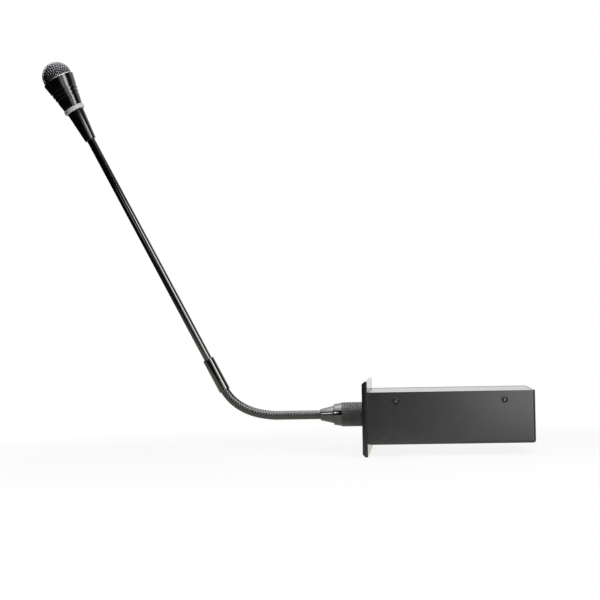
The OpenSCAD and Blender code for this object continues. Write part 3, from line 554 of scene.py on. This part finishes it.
def curve_point(corner, t):
    """Point of the quadratic curve from the first to the last of three points, tangent to the lines to
    the middle one."""
    return (1 - t) ** 2 * corner[0] + 2 * t * (1 - t) * corner[1] + t ** 2 * corner[2]


def neck_stretch(name, corner, start_s, part=(0.0, 1.0)):
    """Stretch of the wound neck, and its length. Its middle line is a part of the quadratic curve
    through three points, with rows at equal steps of its length. Its radius follows a flattened wire
    wound in a helix: the wire's crest where the turn's phase, path length over pitch less the angle's
    share of a turn, is a half, and a filler strip between. The crest attribute is 1 on the wire and 0
    on the filler."""
    cols = 48
    rows_per_turn = 12
    least_rows = 6
    fine_steps = 400
    fine = np.linspace(*part, fine_steps)
    step = np.linalg.norm(np.diff(curve_point(corner, fine[:, None]), axis=0), axis=1)
    s = np.concatenate([[0], np.cumsum(step)])
    rows = max(least_rows, int(round(s[-1] / WIND_PITCH * rows_per_turn)))
    at = np.linspace(0, s[-1], rows + 1)
    t = np.interp(at, s, fine)[:, None]
    middle = curve_point(corner, t)
    along = (1 - t) * (corner[1] - corner[0]) + t * (corner[2] - corner[1])
    along /= np.linalg.norm(along, axis=1, keepdims=True)
    side = np.array([0.0, -1.0, 0.0])
    up = np.cross(side, along)
    angle = np.arange(cols) / cols * TURN
    phase = ((start_s + at)[:, None] / WIND_PITCH - angle[None] / TURN) % 1.0
    off_crest = np.abs(phase - 0.5)
    across = np.clip(off_crest / WIRE_SHARE, 0, 1)
    wire = WIRE_FLATNESS * WIRE_SHARE * WIND_PITCH * (1 - np.sqrt(1 - across ** 2))
    filler_turn = math.pi * np.clip((off_crest - 0.5) / FILLER_SHARE, -0.5, 0.5)
    filler = WIND_DEPTH - FILLER_RISE * np.cos(filler_turn)
    radius = NECK_R - np.minimum(wire, filler)
    around = np.cos(angle)[None, :, None] * side + np.sin(angle)[None, :, None] * up[:, None]
    points = middle[:, None] + radius[..., None] * around
    # The finish paints the filler darker than the wire: painted shade between the turns.
    crest = np.where(wire < filler, 1.0, 0.0)
    piece = make_piece(name, points, grid_faces(rows + 1, cols), finishes["neck"], 80, crest=crest)
    return piece, s[-1]


def neck_bead(name, place, along):
    """Bead inside the neck at a hinge, which fills the wedge that opens there: the middle zone of a
    ball about the hinge, its height and radius the sine and cosine of the zone's angle, with a bore."""
    bead_gap = 0.1 * MM
    bead_r = NECK_R - WIND_DEPTH - bead_gap
    bore_r = 1.5 * MM
    zone_end = 35
    zone = np.radians(np.linspace(-zone_end, zone_end, 9))
    outer = bead_r * np.stack([np.sin(zone), np.cos(zone)], -1)
    bore = np.array([[outer[-1, 0], bore_r], [outer[0, 0], bore_r]])
    outline = np.concatenate([outer, bore])
    return turned(name, Axis(place, along, (0, -1, 0)), outline, finishes["neck"], sides=48)


def wound_neck():
    """Row of stretches, each from the middle of one link to the middle of the next, over the hinge
    between. Those over the swing hinges are single pieces that ride on no body. Those over the bend
    hinges are two halves that part at a bead."""
    inside = 2.5 * MM
    start = hinges[0] + np.array([inside, 0, 0])
    middles = (hinges[:-1] + hinges[1:]) / 2
    ends = np.concatenate([middles, [hinges[LAST] + stem.along * inside]])
    bodies = ["mic_plug"] + [f"neck_{k}" for k in range(2, LAST + 1)] + ["mic_arm"]
    root, s = neck_stretch("neck_winding_0", [start, (start + ends[0]) / 2, ends[0]], 0)
    settle(root, "mic_plug", "neck", "neck_link_1")
    for k in range(1, LAST + 1):
        corner = [ends[k - 1], hinges[k], ends[k]]
        link = f"neck_link_{min(k + 1, LAST)}"
        if k <= SWING_COUNT:
            piece, length = neck_stretch(f"neck_winding_{k}", corner, s)
            s += length
            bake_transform(piece)
            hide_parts(link)
            continue
        for half, part, body in (("low", (0, 0.5), bodies[k - 1]), ("high", (0.5, 1), bodies[k])):
            piece, length = neck_stretch(f"neck_winding_{k}_{half}", corner, s, part)
            s += length
            settle(piece, body, "neck", link)
        along = (ends[k] - ends[k - 1]) / np.linalg.norm(ends[k] - ends[k - 1])
        settle(neck_bead(f"neck_bead_{k}", hinges[k], along), bodies[k], "neck")


wound_neck()


# Stem

def stem_pieces():
    """Sleeve and tube, turned about the stem with rounded ends. The sleeve's bore holds the tube in its
    upper part, and below that only lets the lead through."""
    sleeve_low = 0.5 * MM
    mouth_l = 0.9 * MM
    mouth_drop = 0.15 * MM
    tube_seat = 16 * MM
    lead_r = 1.5 * MM
    tube_wall = 1 * MM
    sleeve_high, sleeve_r = stem.span("neck_sleeve")[1:]
    tube_low, tube_high, tube_r = stem.span("stem_tube")
    seat_low = sleeve_high - tube_seat
    seat_r = tube_r + FIT_GAP
    sleeve = turned("neck_sleeve_skin", stem, rounded([
        (sleeve_low, sleeve_r - mouth_drop, 0.3 * MM), (sleeve_low + mouth_l, sleeve_r, 0.5 * MM),
        (sleeve_high, sleeve_r, 0.7 * MM), (sleeve_high, seat_r, INNER_EDGE),
        (seat_low, seat_r, INNER_EDGE), (seat_low, lead_r, INNER_EDGE), (sleeve_low, lead_r, INNER_EDGE)]),
        finishes["gloss_black"])
    settle(sleeve, "mic_arm", "gloss_black", "neck_sleeve")
    tube = turned("stem_tube_skin", stem, rounded([
        (tube_low, tube_r, 0.3 * MM), (tube_high, tube_r, 0.3 * MM),
        (tube_high, tube_r - tube_wall, INNER_EDGE), (tube_low, tube_r - tube_wall, INNER_EDGE)]),
        finishes["gloss_black"])
    settle(tube, "mic_arm", "gloss_black", "stem_tube")


stem_pieces()


# Microphone head

SPIGOT_R = 5.2 * MM


def head_boot():
    """Lower cone of the head, turned about the stem. The tube sits in its lower end, and its spigot
    rises through the light ring into the head's body."""
    tube_seat = 12 * MM
    spigot_rise = 6 * MM
    lead_r = 2.5 * MM
    edge_h = 0.4 * MM
    low = stem.span("head_boot")[0]
    top = stem.span("light_ring")[0]
    spigot_top = stem.span("head_body")[0] + spigot_rise
    seat_r = stem.span("stem_tube")[2] + FIT_GAP
    low_r = stem.radius_near("head_boot", low + edge_h)
    top_r = stem.radius_near("head_boot", top)
    boot = turned("head_boot_skin", stem, rounded([
        (low, low_r, 0.5 * MM), (top, top_r, 0.25 * MM), (top, SPIGOT_R, INNER_EDGE),
        (spigot_top, SPIGOT_R, INNER_EDGE), (spigot_top, lead_r, INNER_EDGE),
        (low + tube_seat, lead_r, INNER_EDGE), (low + tube_seat, seat_r, INNER_EDGE),
        (low, seat_r, INNER_EDGE)]), finishes["head_black"])
    settle(boot, "mic_arm", "head_black", "head_boot")


def light_ring():
    """Ring turned about the stem, with rounded edges and a wider bore below for its board."""
    bore_r = SPIGOT_R + 0.1 * MM
    room_r = 6.4 * MM
    room_top_drop = 1.7 * MM
    low, high, radius = stem.span("light_ring")
    room_top = high - room_top_drop
    ring = turned("light_ring_skin", stem, rounded([
        (low, radius, 0.7 * MM), (high, radius, 0.7 * MM), (high, bore_r, INNER_EDGE),
        (room_top, bore_r, INNER_EDGE), (room_top, room_r, INNER_EDGE), (low, room_r, INNER_EDGE)], 7),
        finishes["light_plastic"])
    settle(ring, "mic_arm", "light_plastic", "light_ring")


def head_body():
    """Tapered body turned about the stem. Its outline runs up the cone, down into each groove and out
    again, over the rim and down the inside."""
    groove_count = 3
    groove_first = 10.4 * MM
    groove_step = 3.4 * MM
    groove_w = 1.3 * MM
    groove_depth = 0.6 * MM
    groove_edge = 0.12 * MM
    rim_wall = 1.6 * MM
    low_wall = 1 * MM
    floor_h = 4 * MM
    bore_r = SPIGOT_R + FIT_GAP
    low, rim, rim_r = stem.span("head_body")
    low_r = stem.radius_near("head_body", low)
    slope = (rim_r - low_r) / (rim - low)
    corners = [(low, low_r, 0.4 * MM)]
    for i in reversed(range(groove_count)):
        middle = rim - groove_first - i * groove_step
        start = middle - groove_w / 2
        end = middle + groove_w / 2
        start_r = low_r + slope * (start - low)
        end_r = low_r + slope * (end - low)
        corners += [(start, start_r, groove_edge), (start, start_r - groove_depth, groove_edge),
                    (end, end_r - groove_depth, groove_edge), (end, end_r, groove_edge)]
    corners += [(rim, rim_r, 0.35 * MM), (rim, rim_r - rim_wall, INNER_EDGE),
                (low + floor_h, low_r - low_wall, INNER_EDGE), (low + floor_h, bore_r, INNER_EDGE),
                (low, bore_r, INNER_EDGE)]
    body = turned("head_body_skin", stem, rounded(corners), finishes["head_black"], sides=128)
    settle(body, "mic_arm", "head_black", "head_body")


head_boot()
light_ring()
head_body()

BALL_R = 12.05 * MM
rim = stem.span("head_body")[1]
ball_centre = stem.span("grille")[1] - BALL_R


def mesh_ball():
    """Woven wire pressed into a ball. A wire of one family runs at a constant place u across a flat
    sheet, and the sheet's point (u, v) goes to the ball at the polar angle sqrt(u*u + v*v) / ball
    radius, in the direction of (u, v). Wires rise and dip by turns as cos(pi * v / pitch), the other
    family the opposite way."""
    pitch = 2.5 * MM
    wire_w = 0.66 * MM
    wire_h = 0.26 * MM
    lift = 0.12 * MM
    end_gap = 0.2 * MM
    weave_turn = math.radians(4)
    rows = 150
    middle_r = BALL_R - wire_h / 2 - lift
    reach = BALL_R * (math.pi / 2 + math.asin((ball_centre - rim) / BALL_R)) - end_gap
    count = int(reach / pitch)
    index = np.arange(-count, count + 1)[:, None]
    u = index * pitch
    v = np.sqrt(reach ** 2 - u ** 2) * np.linspace(-1, 1, rows)[None]
    polar = np.hypot(u, v) / BALL_R
    heading = np.arctan2(v, u + 0 * v)
    wave = np.cos(math.pi * (v / pitch + index))
    middle = stem.base + ball_centre * stem.along
    for name, rise, turn in (("grille_warp", wave, heading), ("grille_weft", -wave, math.pi / 2 - heading)):
        r = middle_r + lift * rise
        paths = stem.place(ball_centre + r * np.cos(polar), r * np.sin(polar), turn + weave_turn)
        points, faces = pressed_wires(paths, middle, wire_w, wire_h)
        wires = make_piece(name, points, faces, finishes["grille"], 80)
        settle(wires, "mic_arm", "grille", "grille")


def grille_collar():
    """Bright collar turned about the stem: a bevelled flange on the head's rim, and a skirt inside
    it."""
    bore_r = 10.6 * MM
    skirt_r = 10.8 * MM
    skirt_l = 2.8 * MM
    flange_r = 12.6 * MM
    flange_top_r = 12 * MM
    flange_h = 0.75 * MM
    flange_side = 0.2 * MM
    collar = turned("grille_collar", stem, rounded([
        (rim - skirt_l, bore_r, INNER_EDGE), (rim - skirt_l, skirt_r, INNER_EDGE),
        (rim, skirt_r, INNER_EDGE), (rim, flange_r, INNER_EDGE), (rim + flange_side, flange_r, INNER_EDGE),
        (rim + flange_h, flange_top_r, INNER_EDGE), (rim + flange_h, bore_r, INNER_EDGE)]),
        finishes["steel"])
    settle(collar, "mic_arm", "steel")


def foam_dome():
    """Foam cup behind the mesh: a half ball and a smaller half ball inside it, joined at their rims."""
    radius = 10.7 * MM
    wall = 2.4 * MM
    rows = 24
    cols = 64
    tilt = np.linspace(0, math.pi / 2, rows)
    angle = np.arange(cols) / cols * TURN
    polar, heading = np.meshgrid(np.concatenate([tilt, tilt[::-1]]), angle, indexing="ij")
    r = np.repeat([radius, radius - wall], rows)[:, None]
    points = stem.place(ball_centre + r * np.cos(polar), r * np.sin(polar), heading)
    foam = make_piece("foam_dome", points, grid_faces(2 * rows, cols, wrap_rows=True), finishes["foam"])
    settle(foam, "mic_arm", "foam", "foam_liner")


mesh_ball()
grille_collar()
foam_dome()


# Screws in the chassis sides

def screw_heads():
    """Pan heads over the cover screws. A head's height falls off as a shallow dome to a rounded rim,
    less a cross recess whose depth eases off towards the ends of its two slots. An attribute that is
    1 in the recess lets the finish paint a bright glint there."""
    head_r = 2.4 * MM
    head_h = 1.3 * MM
    crown = 0.18
    shank_r = 1.45 * MM
    shank_l = 5 * MM
    slot_half = 0.42 * MM
    slot_side = 0.12 * MM
    slot_reach = 1.5 * MM
    slot_end = 0.5 * MM
    slot_depth = 0.95 * MM
    cross_turns = (0.35, 1.1)
    rows = 40
    cols = 64

    def slot(across, along):
        """1 inside a slot, and less towards its sides and its ends."""
        side = np.clip((slot_half - np.abs(across)) / slot_side, 0, 1)
        end = np.clip((slot_reach - np.abs(along)) / slot_end, 0, 1)
        return side * end

    rho, angle = np.meshgrid(np.linspace(0, 1, rows), np.arange(cols) / cols * TURN, indexing="ij")
    x = head_r * rho * np.cos(angle)
    z = head_r * rho * np.sin(angle)
    dome = head_h * np.sqrt(np.maximum(1 - rho ** 4, 0)) * (1 - crown * rho ** 2)
    recess = np.maximum(slot(x, z), slot(z, x))
    under = np.array([[head_r, 0], [shank_r, 0], [shank_r, -shank_l], [0, -shank_l]])
    under_r = np.repeat(under[:, :1], cols, 1)
    under_h = np.repeat(under[:, 1:], cols, 1)
    x = np.concatenate([x, under_r * np.cos(angle[:1])])
    z = np.concatenate([z, under_r * np.sin(angle[:1])])
    rise = np.concatenate([dome - slot_depth * recess, under_h])
    # 1 in the recess: there the finish paints a bright glint.
    rubbed = np.concatenate([recess, np.zeros_like(under_h)])
    faces = grid_faces(rows + len(under), cols)
    corners = node_points("cover_screws")
    low = corners.min(0)
    high = corners.max(0)
    side_y = high[1] - head_h
    place_x = (low[0] + head_r, high[0] - head_r)
    place_z = (low[2] + high[2]) / 2
    all_points = []
    all_faces = []
    for px, turn in zip(place_x, cross_turns):
        for sign in (-1, 1):
            c = math.cos(turn)
            s = math.sin(turn)
            head = np.stack([px + c * x - s * z, sign * (side_y + rise), place_z + s * x + c * z], -1)
            all_faces.append(faces + len(all_points) * x.size)
            all_points.append(head.reshape(-1, 3))
    screws = make_piece("cover_screw_heads", np.concatenate(all_points), np.concatenate(all_faces),
                        finishes["black_screw"], 40, rubbed=np.tile(rubbed.ravel(), len(all_points)))
    settle(screws, "housing", "black_screw", "cover_screws")


screw_heads()


# Studio

def studio_floor(level):
    """Pale round table top: radius and angle make its grid. To the camera it turns white towards its
    edge, and near the object it keeps the shadow. In reflections it glows, a painted reflection that
    is bright near the object and dark beyond."""
    rows = 12
    cols = 96
    floor_r = 0.55
    middle_x = -0.06
    radius, angle = np.meshgrid(np.linspace(0, floor_r, rows), np.arange(cols) / cols * TURN, indexing="ij")
    x = middle_x + radius * np.cos(angle)
    y = radius * np.sin(angle)
    points = np.stack([x, y, np.full_like(radius, level)], -1)
    made = Finish("studio_floor", Roughness=0.6, Specular_IOR_Level=0.2)
    where = made.where
    tree = made.tree
    grain = where.noise(where, 40)
    made.feed(Base_Color=grain.tint((0.78, 0.78, 0.78), (0.82, 0.82, 0.82)))
    reach = where.node("ShaderNodeVectorMath", {"operation": "LENGTH"}, {0: where}, "Value")
    path = tree.nodes.new("ShaderNodeLightPath")
    seen = Flow(tree, path.outputs["Is Camera Ray"])
    glossy = Flow(tree, path.outputs["Is Glossy Ray"])
    clear = Flow(tree, path.outputs["Is Transmission Ray"])
    shown = seen.maths("MAXIMUM", seen, clear)
    share = shown * (0.88 + 0.12 * reach.ramp(0.2, 0.45)) + glossy * 0.95
    # In reflections the floor glows as a painted reflection: pale near the object, dark beyond.
    sheet = reach.ramp(0.3, 0.42).tint((0.85, 0.84, 0.76), (0.1, 0.1, 0.1))
    links = {"Factor": glossy, 6: (1, 1, 1, 1), 7: sheet}
    colour = glossy.node("ShaderNodeMix", {"data_type": "RGBA"}, links, 2)
    glow = glossy.node("ShaderNodeEmission", None, {"Color": colour})
    mixed = shown.node("ShaderNodeMixShader", None, {
        0: share, 1: Flow(tree, made.shader.outputs["BSDF"]), 2: glow})
    tree.links.new(mixed.socket, tree.nodes["Material Output"].inputs["Surface"])
    make_piece("studio_floor", points, grid_faces(rows, cols), made.material)


def studio_world():
    """Even light from all round, shown white to the camera and in reflections."""
    world = bpy.data.worlds.new("studio")
    bpy.context.scene.world = world
    world.use_nodes = True
    tree = world.node_tree
    light = tree.nodes["Background"]
    light.inputs["Color"].default_value = (1, 1, 1, 1)
    light.inputs["Strength"].default_value = 0.1
    white = tree.nodes.new("ShaderNodeBackground")
    white.inputs["Color"].default_value = (1, 1, 1, 1)
    path = tree.nodes.new("ShaderNodeLightPath")
    seen = Flow(tree, path.outputs["Is Camera Ray"])
    glossy = Flow(tree, path.outputs["Is Glossy Ray"])
    clear = Flow(tree, path.outputs["Is Transmission Ray"])
    shown = seen.maths("MAXIMUM", seen.maths("MAXIMUM", seen, glossy), clear)
    mixed = shown.node("ShaderNodeMixShader", None,
                       {0: shown, 1: Flow(tree, light.outputs[0]), 2: Flow(tree, white.outputs[0])})
    tree.links.new(mixed.socket, tree.nodes["World Output"].inputs["Surface"])


def aimed(place, target):
    """Turn that points an object's -Z from its place at a target."""
    return (Vector(target) - Vector(place)).to_track_quat("-Z", "Y").to_euler()


def softbox(name, place, target, width, height, power, spread=180):
    """Rectangular lamp that faces the target, its light held within a spread of so many degrees."""
    data = bpy.data.lights.new(name, "AREA")
    data.shape = "RECTANGLE"
    data.size = width
    data.size_y = height
    data.energy = power
    data.spread = math.radians(spread)
    lamp = bpy.data.objects.new(name, data)
    bpy.context.scene.collection.objects.link(lamp)
    lamp.location = place
    lamp.rotation_euler = aimed(place, target)
    lamp.visible_camera = False


def dark_room():
    """Shell of a dark room round the object: part of a sphere, where a point's place is the radius
    times the cosines and sines of its azimuth and elevation. Its lower edge is higher behind the
    object, so that the pale backdrop shows there, and its ceiling glows, less so to both sides. Only
    reflections see it."""
    reach = 3.2
    open_right = math.radians(75)
    open_left = math.radians(25)
    doorway = math.radians(36)
    floor_line = math.radians(-80)
    rows = 24
    cols = 96
    turn = np.arange(cols) / cols * TURN
    off_back = (turn + math.pi) % TURN - math.pi
    lower = np.where((off_back > -open_left) & (off_back < open_right), doorway, floor_line)
    share = np.linspace(0, 1, rows)[:, None]
    up = lower * (1 - share) + math.pi / 2 * share
    points = reach * np.stack([np.cos(up) * np.sin(turn), np.cos(up) * np.cos(turn), np.sin(up)], -1)
    made = Finish("dark_room", Roughness=0.9, Base_Color=(0.012, 0.012, 0.013, 1), Emission_Strength=3.4)
    height = made.where.node("ShaderNodeSeparateXYZ", None, {"Vector": made.where}, "Z")
    sideways = made.where.node("ShaderNodeSeparateXYZ", None, {"Vector": made.where}, "X")
    to_side = (sideways / reach).ramp(0.1, 0.45) + (sideways / -reach).ramp(0.4, 0.6)
    glow = (height / reach).ramp(0.6, 0.8) * (1 - 0.75 * to_side)
    made.feed(Emission_Color=glow.tint((0, 0, 0), (0.97, 0.94, 1.0)))
    shell = make_piece("dark_room", points, grid_faces(rows, cols), made.material)
    shell.visible_camera = False
    shell.visible_shadow = False
    shell.visible_diffuse = False


def studio():
    """A near key lamp to the right, dim fills from the front and above, and small low lamps that rake
    the sides."""
    middle = (-0.03, 0.0, 0.06)
    studio_world()
    studio_floor(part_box("front_panel")[0].z)
    softbox("right_softbox", (0.35, -0.43, 0.4), (-0.2, 0.03, 0.18), 0.26, 0.4, 3.4)
    softbox("fill_softbox", (0.72, -1.84, 0.25), middle, 0.62, 1.1, 5)
    softbox("left_softbox", (-0.275, -0.375, 0.17), (-0.04, 0.03, 0.0), 0.14, 0.1, 0.035, 60)
    softbox("top_softbox", (-0.1, 0.0, 1.8), (-0.1, 0.0, 0.0), 1.2, 0.7, 7)
    softbox("low_softbox", (0.9, -1.35, 0.0), (0.12, -0.065, 0.0), 0.28, 0.36, 0.06, 30)
    softbox("side_softbox", (0.27, -1.4, 0.0), (0.08, -0.065, 0.0), 0.3, 0.5, 0.042, 24)
    dark_room()


studio()


# Camera at the photograph's place

def photo_camera():
    """Camera at the place, turn and focal length, in the picture's pixels, that fit the photograph."""
    place = np.array([41.8, -1544.0, 62.4]) * MM
    yaw, pitch, roll = (math.radians(a) for a in (-3.55, 1.12, -1.04))
    focal_px = 1944.0
    image_px = 600.0
    forward = np.array([math.sin(yaw) * math.cos(pitch), math.cos(yaw) * math.cos(pitch), math.sin(pitch)])
    right = np.array([math.cos(yaw), -math.sin(yaw), 0.0])
    up = np.cross(right, forward)
    turned_right = math.cos(roll) * right + math.sin(roll) * up
    turned_up = -math.sin(roll) * right + math.cos(roll) * up
    data = bpy.data.cameras.new("photo_camera")
    data.sensor_width = 36.0
    data.lens = focal_px / image_px * data.sensor_width
    camera = bpy.data.objects.new("photo_camera", data)
    bpy.context.scene.collection.objects.link(camera)
    camera.matrix_world = Matrix([
        [turned_right[i], turned_up[i], -forward[i], place[i]] for i in range(3)] + [[0, 0, 0, 1]])
    bpy.context.scene.camera = camera


photo_camera()
bpy.context.scene.view_settings.view_transform = "Standard"
